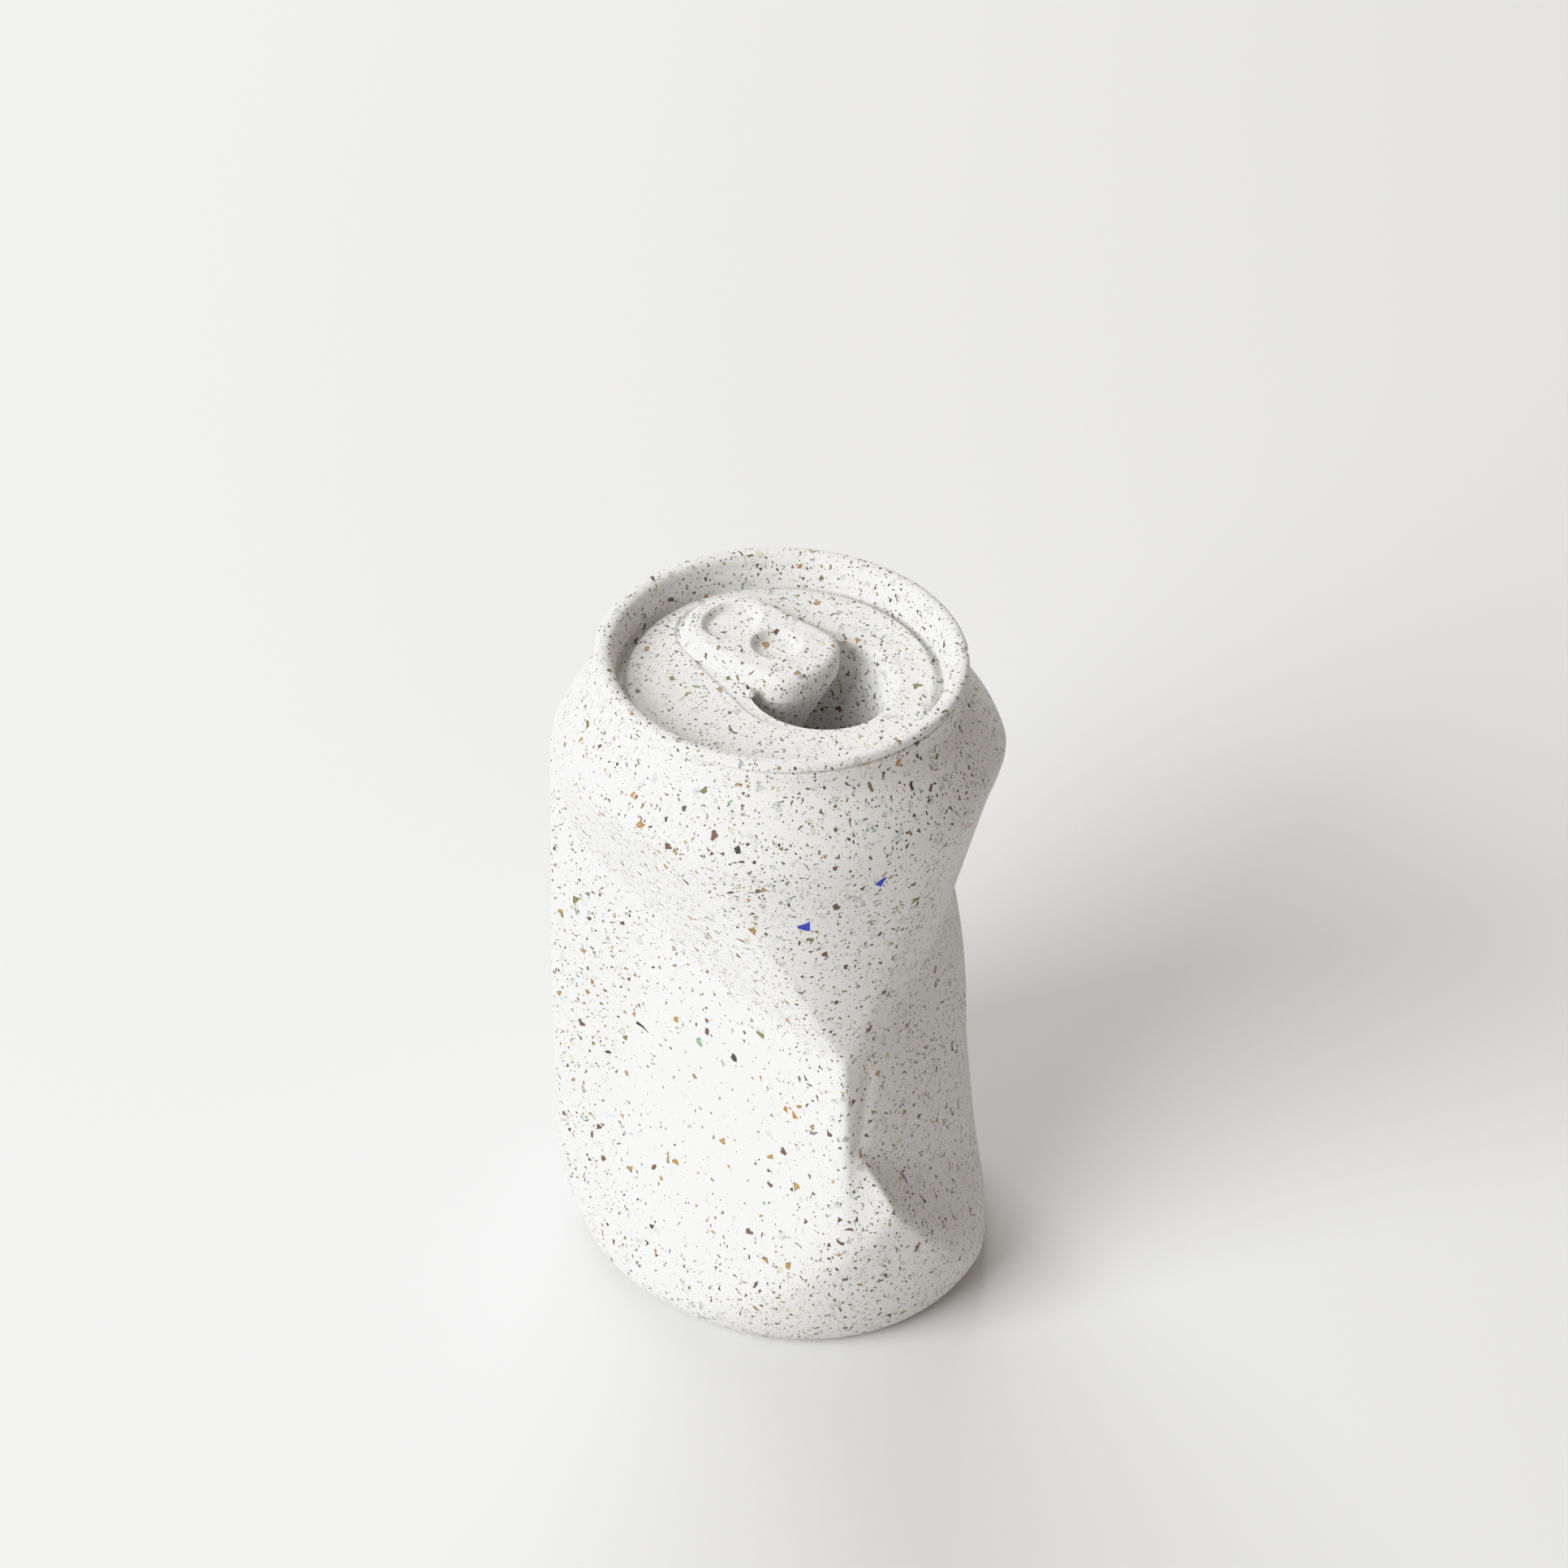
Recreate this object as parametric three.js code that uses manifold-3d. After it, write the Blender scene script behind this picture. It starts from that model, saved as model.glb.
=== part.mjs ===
// A crushed drinks can, cast in one piece in a speckled mineral composite.
// The lid, its ring pull and the bent-in flap are one solid with the body. The drinking mouth is the
// only opening, and it leads into a hollow with a thick wall. Millimetres, +Z up, front towards -Y.
// Azimuths are degrees from the front, positive towards +X.
import * as THREE from 'three';
import { mergeVertices } from 'three/addons/utils/BufferGeometryUtils.js';
import Module from 'manifold-3d';

const wasm = await Module();
wasm.setup();

// ---- The can before it was crushed ----
const BASE_RADIUS = 35.4;
const TOP_RADIUS = 35;
const BASE_OVAL = 2.1; // the crushed base is longer along BASE_OVAL_AZIMUTH by this much each way
const BASE_OVAL_AZIMUTH = 52;
const BASE_CORNER_IN = 6; // rounding of the lower corner, inwards and upwards
const BASE_CORNER_UP = 16;
const SHOULDER_HEIGHT = 82.5; // where the dome under the rim starts
const NECK_HEIGHT = 106.5; // where the dome meets the rim
const NECK_RADIUS = 26.6;
const DOME_POWER = 3; // how late the dome turns in
const TWIST_START = 25; // the base keeps its own axis up to here
const TWIST_END = 80; // the top keeps its own axis from here
const BASE_AXIS_X = -0.65;
const TOP_AXIS_X = -0.95;

// ---- The crush: flattened facets that meet in creases ----
// faces: azimuth of the facet; reach: its distance from the axis at the height `at`;
// slope: change of reach for each millimetre up; flatness: 0 is round like the can, 1 is a plane.
const FRONT_WALL = { faces: -30, reach: 31.9, at: 93, slope: 0.107, flatness: 0.25 };
const LEFT_OVERHANG = { faces: -47, reach: 28.6, at: 90, slope: 0.43, flatness: 0.95 };
const RIGHT_OVERHANG = { faces: 70, reach: 31.4, at: 90, slope: 0.25, flatness: 0.87 };
const LEFT_PANEL = { faces: -34, reach: 19.2, at: 35, slope: -0.14, flatness: 1.05 };
const RIGHT_PANEL = { faces: 63, reach: 27.6, at: 35, slope: -0.12, flatness: 0.65 };
const LEFT_FLARE = { faces: -55, reach: 19.2, at: 28.3, slope: -0.52, flatness: 0.77 };
const RIGHT_FLARE = { faces: 97, reach: 12.6, at: 28.3, slope: -0.78, flatness: 1.04 };
const DIMPLE = { faces: -78, height: 42, depth: 2.4, halfAngle: 10, halfHeight: 30 };
const WIDEST_FACET = 1.35; // radians that a facet reaches to each side before it runs straight out

// widths of the rounded creases
const OVERHANG_BLEND = 2.6;
const VALLEY_BLEND = 1.6;
const PANEL_BLEND = 4.2;
const FLARE_BLEND = 14;
const CAN_BLEND = 2;
const BASE_BLEND_LEFT = 4;
const BASE_BLEND_RIGHT = 9;
const BASE_BLEND_TURN = 45; // degrees from the front over which the one becomes the other
const BASE_BLEND_HEIGHT = 30; // full up to here, and CAN_BLEND from BASE_BLEND_END
const BASE_BLEND_END = 55;

// ---- The lid, in its own frame: u right, v back, w up from the rim's crest ----
const RIM_CREST = 112.7;
const LID_CENTRE = { x: -0.3, y: -2.5 };
const LID_TILT_BACK = 0.4; // degrees, the back side higher
const LID_TILT_RIGHT = 1.5; // degrees, the right side lower
// sections as [radius, w]: the rolled rim, then the groove inside it and the panel's edge
const RIM_SECTION = [[26.5, -2.7], [27.1, -2], [27.2, -0.8], [26.4, 0], [25.3, -0.5], [24.7, -2.1]];
const COUNTERSINK_SECTION = [[24.1, -3.5], [23.6, -6], [22.7, -6], [22.4, -4.9], [21.6, -4.2]];
const PANEL_DEPTH = 4.2;

const TAB_AZIMUTH = -39; // direction of the ring pull's nose from +u, degrees
const TAB_LENGTH = 24.2;
const TAB_WIDTH = 15.1;
const TAB_NOSE = 5; // nose beyond the lid's centre, along the tab
const TAB_OFFSET = 3; // the tab's centre line from the lid's centre, to its left
const TAB_HEIGHT = 2.1; // above the panel
const TAB_EDGE = 1.3; // rounding of its edges
const TAB_SINK = 1; // how far its foot reaches into the panel
const NOSE_DEPTH = 6; // length of the nose's arc
const NOSE_FULLNESS = 0.8; // 1 is an ellipse, less is squarer
const FINGER_RECESS = { along: -12, across: 3.2, halfLength: 3.9, halfWidth: 4.8, depth: 1 };
const RIVET_RECESS = { along: -3.3, across: 2.9, halfLength: 3.6, halfWidth: 3.6, depth: 1.2 };
const RECESS_FLOOR = 0.72; // size of a recess's floor against its mouth

const TEARDROP_DEPTH = 0.4; // the sunken field round the tab and the mouth
const TEARDROP_REAR = { u: -7.2, v: 10, radius: 8.5 };
const TEARDROP_FRONT = { u: 4.5, v: -1.5, radius: 12.2 };

// mouth: [w, centre u, centre v, radius]; the left and front stay sharp, the right rolls off
const MOUTH_SECTION = [[-3.9, 5.6, -1.4, 10.8], [-4.8, 5.3, -1.7, 10.3], [-6.5, 4.7, -2.2, 9.6],
  [-10, 4.2, -2.6, 9.1], [-24, 4, -2.8, 8.9]];
// flap pushed in under the tab's nose: [w, size against the tab's front half]
const FLAP_SECTION = [[-2.9, 0.98], [-5.6, 0.96], [-7.6, 0.88], [-10.7, 0.74], [-14.5, 0.58], [-19, 0.4]];
const FLAP_ANCHOR = { along: -5.5, across: 1 }; // the flap shrinks towards this point as it goes down
const FLAP_REAR = -10.5; // where the flap ends under the tab, along the tab

// ---- The hollow ----
const WALL = 5;
const FLOOR = 6;
const LID_UNDERSIDE = 20; // below the rim's crest; the mouth is a neck this deep
const HOLLOW_ROUNDING = 6; // of its edges at the floor and under the lid

// ---- Mesh fineness ----
const AROUND = 76;
const FRONT_BIAS = 0.35; // more divisions towards the front, where the creases are
const CORNER_ROWS = 5;
const WALL_ROWS = 20;
const DOME_ROWS = 6;
const HOLLOW_AROUND = 40;
const HOLLOW_ROWS = 12;
const ROUND_STEPS = 28;
const CUT_CLEARANCE = 1; // how far a cutting solid stands above the face it cuts

const radians = THREE.MathUtils.degToRad;
const smooth = (t) => THREE.MathUtils.smoothstep(t, 0, 1);

function smoothMin(a, b, blend) {
  const overlap = Math.max(blend - Math.abs(a - b), 0) / blend;
  return Math.min(a, b) - overlap * overlap * blend / 4;
}

const smoothMax = (a, b, blend) => -smoothMin(-a, -b, blend);

function turnFrom(azimuth, degrees) {
  return Math.atan2(Math.sin(azimuth - radians(degrees)), Math.cos(azimuth - radians(degrees)));
}

function facetRadius(facet, azimuth, z) {
  const fromFacing = facet.flatness * turnFrom(azimuth, facet.faces);
  const turn = THREE.MathUtils.clamp(fromFacing, -WIDEST_FACET, WIDEST_FACET);
  return (facet.reach + facet.slope * (z - facet.at)) / Math.cos(turn);
}

const twist = (z) => smooth((z - TWIST_START) / (TWIST_END - TWIST_START));

// Radius of the can without the crush, a rounded wall with a domed shoulder
function canRadius(azimuth, z) {
  const upper = twist(z);
  let radius = THREE.MathUtils.lerp(BASE_RADIUS, TOP_RADIUS, upper);
  radius += BASE_OVAL * (1 - upper) * Math.cos(2 * (azimuth - radians(BASE_OVAL_AZIMUTH)));
  const dome = THREE.MathUtils.clamp((z - SHOULDER_HEIGHT) / (NECK_HEIGHT - SHOULDER_HEIGHT), 0, 1);
  radius -= (radius - NECK_RADIUS) * dome ** DOME_POWER;
  const corner = Math.max(1 - z / BASE_CORNER_UP, 0);
  return radius - BASE_CORNER_IN * (1 - Math.sqrt(1 - corner * corner));
}

// Width of the crease between the crush and the can's own wall
function canBlend(azimuth, z) {
  const right = smooth(azimuth / radians(BASE_BLEND_TURN));
  const base = THREE.MathUtils.lerp(BASE_BLEND_LEFT, BASE_BLEND_RIGHT, right);
  const above = smooth((z - BASE_BLEND_HEIGHT) / (BASE_BLEND_END - BASE_BLEND_HEIGHT));
  return THREE.MathUtils.lerp(base, CAN_BLEND, above);
}

// Radius of the crushed can: the can, cut back to the larger of its upper and lower crushed forms
function crushedRadius(azimuth, z) {
  const facet = (which) => facetRadius(which, azimuth, z);
  const overhangs = smoothMin(facet(LEFT_OVERHANG), facet(RIGHT_OVERHANG), OVERHANG_BLEND);
  const upper = smoothMin(overhangs, facet(FRONT_WALL), OVERHANG_BLEND);
  const panels = smoothMin(facet(LEFT_PANEL), facet(RIGHT_PANEL), PANEL_BLEND);
  const flares = smoothMin(facet(LEFT_FLARE), facet(RIGHT_FLARE), PANEL_BLEND);
  const lower = smoothMax(panels, flares, FLARE_BLEND);
  const facets = smoothMax(upper, lower, VALLEY_BLEND);
  const crushed = smoothMin(canRadius(azimuth, z), facets, canBlend(azimuth, z));
  const across = turnFrom(azimuth, DIMPLE.faces) / radians(DIMPLE.halfAngle);
  const along = (z - DIMPLE.height) / DIMPLE.halfHeight;
  return crushed - DIMPLE.depth * Math.exp(-across * across - along * along);
}

// A point given in the lid's frame, in the can's frame
const lidTurn = new THREE.Euler(radians(LID_TILT_BACK), radians(LID_TILT_RIGHT), 0);
const lidToCan = new THREE.Matrix4().makeRotationFromEuler(lidTurn)
  .setPosition(LID_CENTRE.x, LID_CENTRE.y, RIM_CREST);
const onLid = (u, v, w) => new THREE.Vector3(u, v, w).applyMatrix4(lidToCan);

// Where a point of the crushed wall stands, `inset` inside the surface; the dome leans into the lid
function onWall(azimuth, z, inset = 0) {
  const radius = crushedRadius(azimuth, z) - inset;
  const axisX = THREE.MathUtils.lerp(BASE_AXIS_X, TOP_AXIS_X, twist(z));
  const place = new THREE.Vector3(axisX + radius * Math.sin(azimuth), -radius * Math.cos(azimuth), z);
  const carried = onLid(radius * Math.sin(azimuth), -radius * Math.cos(azimuth), z - RIM_CREST);
  return place.lerp(carried, smooth((z - SHOULDER_HEIGHT) / (NECK_HEIGHT - SHOULDER_HEIGHT)));
}

// ---- Closed solids from rings of points, and joins and cuts ----

// rings: loops of points that turn the same way seen from above, from the lowest to the last one.
// Each four-sided face is split along the diagonal that lies nearer to `surface`, where it is given:
// a function of the row and the column, both halfway between two points.
function solidFromRings(rings, surface) {
  const count = rings[0].length;
  const points = rings.flat();
  const centre = (ring) => ring.reduce((sum, p) => sum.add(p), new THREE.Vector3()).divideScalar(count);
  const first = points.push(centre(rings[0])) - 1;
  const last = points.push(centre(rings.at(-1))) - 1;
  const miss = (from, to, target) => points[from].clone().lerp(points[to], 0.5).distanceTo(target);
  const topRow = (rings.length - 1) * count;
  const faces = [];
  for (let i = 0; i < count; i += 1) {
    const next = (i + 1) % count;
    faces.push(first, next, i);
    faces.push(last, topRow + i, topRow + next);
    for (let row = 0; row + 1 < rings.length; row += 1) {
      const [a, b] = [row * count + i, row * count + next];
      const [c, d] = [b + count, a + count];
      const target = surface?.(row + 0.5, i + 0.5);
      if (target && miss(b, d, target) < miss(a, c, target)) faces.push(a, b, d, b, c, d);
      else faces.push(a, b, c, a, c, d);
    }
  }
  const geometry = new THREE.BufferGeometry().setFromPoints(points);
  geometry.setIndex(faces);
  return toManifold(geometry);
}

function toManifold(geometry) {
  geometry.deleteAttribute('normal');
  geometry.deleteAttribute('uv');
  const merged = mergeVertices(geometry, 1e-4);
  return new wasm.Manifold(new wasm.Mesh({
    numProp: 3,
    vertProperties: new Float32Array(merged.attributes.position.array),
    triVerts: new Uint32Array(merged.index.array),
  }));
}

function toGeometry(solid) {
  const mesh = solid.getMesh();
  const geometry = new THREE.BufferGeometry();
  geometry.setAttribute('position', new THREE.BufferAttribute(mesh.vertProperties, mesh.numProp));
  geometry.setIndex(new THREE.BufferAttribute(mesh.triVerts, 1));
  geometry.computeVertexNormals();
  return geometry;
}

// Azimuth of the nth of `count` columns round the can, closer together towards the front
function azimuthOf(n, count) {
  const turn = 2 * Math.PI * n / count - Math.PI;
  return turn - FRONT_BIAS * Math.sin(turn);
}

const azimuths = (count) => Array.from({ length: count }, (_, n) => azimuthOf(n, count));

function spread(from, to, steps, ease = (t) => t) {
  return Array.from({ length: steps + 1 }, (_, i) => from + (to - from) * ease(i / steps));
}

// ---- Body: wall, dome, rim, groove and panel in one skin ----
function outerForm() {
  const around = azimuths(AROUND);
  const heights = [
    ...spread(0, BASE_CORNER_UP, CORNER_ROWS, (t) => 1 - Math.cos(t * Math.PI / 2)),
    ...spread(BASE_CORNER_UP, SHOULDER_HEIGHT, WALL_ROWS).slice(1),
    ...spread(SHOULDER_HEIGHT, NECK_HEIGHT, DOME_ROWS).slice(1),
  ];
  const wall = heights.map((z) => around.map((azimuth) => onWall(azimuth, z)));
  const lid = [...RIM_SECTION, ...COUNTERSINK_SECTION].map(([radius, w]) => (
    around.map((azimuth) => onLid(radius * Math.sin(azimuth), -radius * Math.cos(azimuth), w))));
  const surface = (row, column) => {
    const low = Math.floor(row);
    if (low + 1 >= heights.length) return undefined;
    return onWall(azimuthOf(column, AROUND), THREE.MathUtils.lerp(heights[low], heights[low + 1], row - low));
  };
  return solidFromRings([...wall, ...lid], surface);
}

// ---- Hollow: the same crushed form, a wall's thickness inside ----
function hollow() {
  const around = azimuths(HOLLOW_AROUND);
  const ceiling = RIM_CREST - LID_UNDERSIDE;
  const halfRounding = HOLLOW_ROUNDING / 4;
  const heights = [
    FLOOR,
    FLOOR + halfRounding,
    ...spread(FLOOR + HOLLOW_ROUNDING, ceiling - HOLLOW_ROUNDING, HOLLOW_ROWS),
    ceiling - halfRounding,
    ceiling,
  ];
  return solidFromRings(heights.map((z) => {
    const gap = Math.max(HOLLOW_ROUNDING - Math.min(z - FLOOR, ceiling - z), 0) / HOLLOW_ROUNDING;
    const inset = WALL + HOLLOW_ROUNDING * (1 - Math.sqrt(1 - gap * gap));
    return around.map((azimuth) => onWall(azimuth, z, inset));
  }));
}

// ---- Lid details ----

// A point given along and across the tab, as lid coordinates u, v
function tabPoint(along, across) {
  const turn = radians(TAB_AZIMUTH);
  return [along * Math.cos(turn) - across * Math.sin(turn), along * Math.sin(turn) + across * Math.cos(turn)];
}

// Outline of the tab: a flatter arc at the nose, a half circle at the rear, shrunk by `inset`
function tabOutline(inset) {
  const half = TAB_WIDTH / 2 - inset;
  const rearAt = TAB_NOSE - TAB_LENGTH + TAB_WIDTH / 2;
  const nose = spread(-Math.PI / 2, Math.PI / 2, ROUND_STEPS / 2).map((turn) => [
    TAB_NOSE - NOSE_DEPTH + (NOSE_DEPTH - inset) * Math.cos(turn) ** NOSE_FULLNESS,
    TAB_OFFSET + half * Math.sin(turn),
  ]);
  const rear = spread(Math.PI / 2, 3 * Math.PI / 2, ROUND_STEPS / 2).map((turn) => [
    rearAt + half * Math.cos(turn),
    TAB_OFFSET + half * Math.sin(turn),
  ]);
  return [...nose, ...rear];
}

const outlineAt = (outline, w) => outline.map(([along, across]) => onLid(...tabPoint(along, across), w));

function tab() {
  const top = TAB_HEIGHT - PANEL_DEPTH;
  const foot = outlineAt(tabOutline(0), -PANEL_DEPTH - TAB_SINK);
  const edge = spread(0, Math.PI / 2, 3).map((turn) => (
    outlineAt(tabOutline(TAB_EDGE * (1 - Math.cos(turn))), top - TAB_EDGE * (1 - Math.sin(turn)))));
  return solidFromRings([foot, ...edge]);
}

// A loop of points round a centre given by `place`, at w
const loop = (place, w) => (
  spread(0, 2 * Math.PI, ROUND_STEPS).slice(1).map((turn) => onLid(...place(turn), w)));

// A blind oval recess in the tab's top with a sloping wall
function recess({ along, across, halfLength, halfWidth, depth }) {
  const widening = (1 - RECESS_FLOOR) / depth;
  const levels = [[-depth, RECESS_FLOOR], [0, 1], [CUT_CLEARANCE, 1 + CUT_CLEARANCE * widening]];
  return solidFromRings(levels.map(([rise, size]) => loop((turn) => (
    tabPoint(along + size * halfLength * Math.cos(turn), across + size * halfWidth * Math.sin(turn))
  ), TAB_HEIGHT - PANEL_DEPTH + rise)));
}

function flap() {
  const { along: anchorAlong, across: anchorAcross } = FLAP_ANCHOR;
  const front = tabOutline(0).map(([along, across]) => [Math.max(along, FLAP_REAR), across]);
  const shrunk = (size) => front.map(([along, across]) => [
    anchorAlong + size * (along - anchorAlong),
    anchorAcross + size * (across - anchorAcross),
  ]);
  return solidFromRings(FLAP_SECTION.toReversed().map(([w, size]) => outlineAt(shrunk(size), w)));
}

function mouth() {
  return solidFromRings(MOUTH_SECTION.toReversed().map(([w, u, v, radius]) => (
    loop((turn) => [u + radius * Math.cos(turn), v + radius * Math.sin(turn)], w))));
}

// Convex outline round two circles, sunk into the panel
function teardrop() {
  const { u: rearU, v: rearV, radius: rear } = TEARDROP_REAR;
  const { u: frontU, v: frontV, radius: front } = TEARDROP_FRONT;
  const apart = Math.hypot(frontU - rearU, frontV - rearV);
  const axis = Math.atan2(frontV - rearV, frontU - rearU);
  const open = Math.acos((rear - front) / apart);
  const arc = (u, v, radius, from, to) => spread(from, to, ROUND_STEPS / 2).map((turn) => (
    [u + radius * Math.cos(axis + turn), v + radius * Math.sin(axis + turn)]));
  const outline = [
    ...arc(frontU, frontV, front, -open, open),
    ...arc(rearU, rearV, rear, open, 2 * Math.PI - open),
  ];
  const levels = [-PANEL_DEPTH - TEARDROP_DEPTH, -PANEL_DEPTH + CUT_CLEARANCE];
  return solidFromRings(levels.map((w) => outline.map(([u, v]) => onLid(u, v, w))));
}

const cast = outerForm()
  .subtract(hollow())
  .subtract(teardrop())
  .subtract(mouth())
  .add(flap())
  .add(tab())
  .subtract(recess(FINGER_RECESS))
  .subtract(recess(RIVET_RECESS));

const speckledComposite = new THREE.MeshStandardMaterial({ color: 0xe9e6df, roughness: 0.85, metalness: 0 });
const castCan = new THREE.Mesh(toGeometry(cast), speckledComposite);
castCan.name = 'cast_can';

const group = new THREE.Group();
group.add(castCan);

export default group;
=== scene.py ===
from math import cos, hypot, pi, radians, sin

import bpy
import numpy as np
from mathutils import Euler, Matrix, Vector, noise


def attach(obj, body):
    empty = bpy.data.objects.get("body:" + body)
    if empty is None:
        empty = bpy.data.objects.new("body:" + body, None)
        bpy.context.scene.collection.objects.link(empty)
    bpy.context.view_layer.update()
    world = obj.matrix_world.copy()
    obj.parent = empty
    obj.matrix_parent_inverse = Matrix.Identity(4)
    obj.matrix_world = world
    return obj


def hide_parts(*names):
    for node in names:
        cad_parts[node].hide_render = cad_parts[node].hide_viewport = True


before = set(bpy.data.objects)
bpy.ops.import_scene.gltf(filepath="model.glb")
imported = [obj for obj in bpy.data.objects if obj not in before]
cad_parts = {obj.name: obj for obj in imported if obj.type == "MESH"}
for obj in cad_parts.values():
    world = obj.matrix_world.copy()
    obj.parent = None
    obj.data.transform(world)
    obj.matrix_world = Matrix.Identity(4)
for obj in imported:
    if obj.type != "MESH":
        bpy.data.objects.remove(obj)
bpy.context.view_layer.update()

bl_info = {
    "name": "Crushed can vase",
    "version": (1, 0, 0),
    "blender": (4, 5, 0),
    "location": "3D View > Sidebar > Crushed can",
    "description": "Casts a crushed drinks can in speckled composite, on a pale floor",
    "category": "Object",
}

NODE = "cast_can"
PIECE = "crushed_can_cast"
MM = 0.001

# ---- The crush, in millimetres ----
# faces: azimuth of the facet in degrees from the front, positive to the right; reach: its distance
# from the axis at the height `at`; slope: change of reach for each millimetre up; flatness: 0 is
# round like the can, 1 is a plane
FRONT_WALL = {"faces": -30, "reach": 31.9, "at": 93, "slope": 0.107, "flatness": 0.25}
LEFT_OVERHANG = {"faces": -47, "reach": 28.6, "at": 90, "slope": 0.43, "flatness": 0.95}
RIGHT_OVERHANG = {"faces": 70, "reach": 31.4, "at": 90, "slope": 0.25, "flatness": 0.87}
LEFT_PANEL = {"faces": -34, "reach": 19.2, "at": 35, "slope": -0.14, "flatness": 1.05}
RIGHT_PANEL = {"faces": 63, "reach": 28.4, "at": 35, "slope": -0.15, "flatness": 0.65}
LEFT_FLARE = {"faces": -55, "reach": 19.4, "at": 28.3, "slope": -0.6, "flatness": 0.77}
RIGHT_FLARE = {"faces": 97, "reach": 15.0, "at": 28.3, "slope": -0.95, "flatness": 1.04}
DIMPLE = {"faces": -78, "height": 42, "depth": 2.4, "half_angle": 10, "half_height": 30}
# a fold line: azimuth and height of its two ends; `reach` turns its angles into millimetres
CREASE = {"from": (28.5, 51), "to": (23.5, 40), "depth": 0.45, "half_width": 1.1, "reach": 28}
WIDEST_FACET = 1.35  # radians from its middle; past it a facet stays as far out as there
# how far the meeting of two forms is rounded
OVERHANG_BLEND = 2.6
VALLEY_BLEND = 0.9
PANEL_BLEND = 2.4
FLARE_BLEND = 8
CAN_BLEND = 2
BASE_BLEND_LEFT = 4
BASE_BLEND_RIGHT = 12
BASE_BLEND_TURN = 45
BASE_BLEND_HEIGHT = (30, 55)
DOME_POWER = 3
TWIST = (25, 80)  # heights between which the axis moves over from the base's to the top's
BASE_AXIS_X = -0.65
TOP_AXIS_X = -0.95
BASE_OVAL = 2.1
BASE_OVAL_AZIMUTH = 52

# ---- The lid, in its own frame: u right, v back, w up from the rim's crest ----
NECK_FROM = 8.0  # depth below the rim's crest where the dome starts to turn into the neck
# radius and w: up the neck, over the rim, and down into the groove beside the panel
RIM_SECTION = (
    (27.6, -7.1), (27.05, -6.2), (26.73, -5.4), (26.62, -4.6), (26.65, -3.4), (26.75, -2.3),
    (26.75, -1.9), (26.3, -1.62), (26.4, -1.45), (26.95, -1.25), (27.1, -0.75), (26.9, -0.25),
    (26.3, 0), (25.4, -0.06), (24.75, -0.36), (24.42, -0.9), (24.3, -1.6), (24.22, -2.3))
GROOVE_SECTION = (
    (24.1, -2.8), (24.0, -3.3), (23.9, -4.2), (23.7, -5.3), (23.45, -5.85), (23.1, -6.1),
    (22.75, -5.9), (22.55, -5.2), (22.35, -4.6), (22.0, -4.3), (21.5, -4.2))
PANEL_ROWS = (20.5, 18.5, 15, 10, 5)
PANEL_DEPTH = 4.2
# a chip out of the rim's outer edge; it fades in outside the radius `starts`, and ends at `lowest`
NICK = {"azimuth": 93.5, "half_width": 0.5, "depth": 0.5,
        "starts": 25.4, "fade": 1.4, "lowest": -1.5}


class CanSizes(bpy.types.PropertyGroup):
    """Sizes of the can before it was crushed"""

    base_radius: bpy.props.FloatProperty(
        name="Base radius", description="Radius of the wall near the base",
        default=0.0354, min=0.02, unit="LENGTH")
    top_radius: bpy.props.FloatProperty(
        name="Top radius", description="Radius of the wall under the dome",
        default=0.035, min=0.02, unit="LENGTH")
    corner_in: bpy.props.FloatProperty(
        name="Corner depth", description="How far the lower corner's rounding reaches inwards",
        default=0.006, min=0.001, unit="LENGTH")
    corner_up: bpy.props.FloatProperty(
        name="Corner height", description="How far the lower corner's rounding reaches up",
        default=0.016, min=0.001, unit="LENGTH")
    shoulder_height: bpy.props.FloatProperty(
        name="Shoulder height", description="Height where the dome under the rim starts",
        default=0.0825, min=0.05, unit="LENGTH")
    neck_height: bpy.props.FloatProperty(
        name="Neck height", description="Height where the dome meets the rim",
        default=0.1065, min=0.06, unit="LENGTH")
    neck_radius: bpy.props.FloatProperty(
        name="Neck radius", description="Radius of the neck under the rim",
        default=0.0266, min=0.01, unit="LENGTH")
    wall: bpy.props.FloatProperty(
        name="Wall", description="Thickness of the wall round the hollow",
        default=0.005, min=0.001, unit="LENGTH")
    floor: bpy.props.FloatProperty(
        name="Floor", description="Thickness of the floor under the hollow",
        default=0.006, min=0.001, unit="LENGTH")


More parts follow.
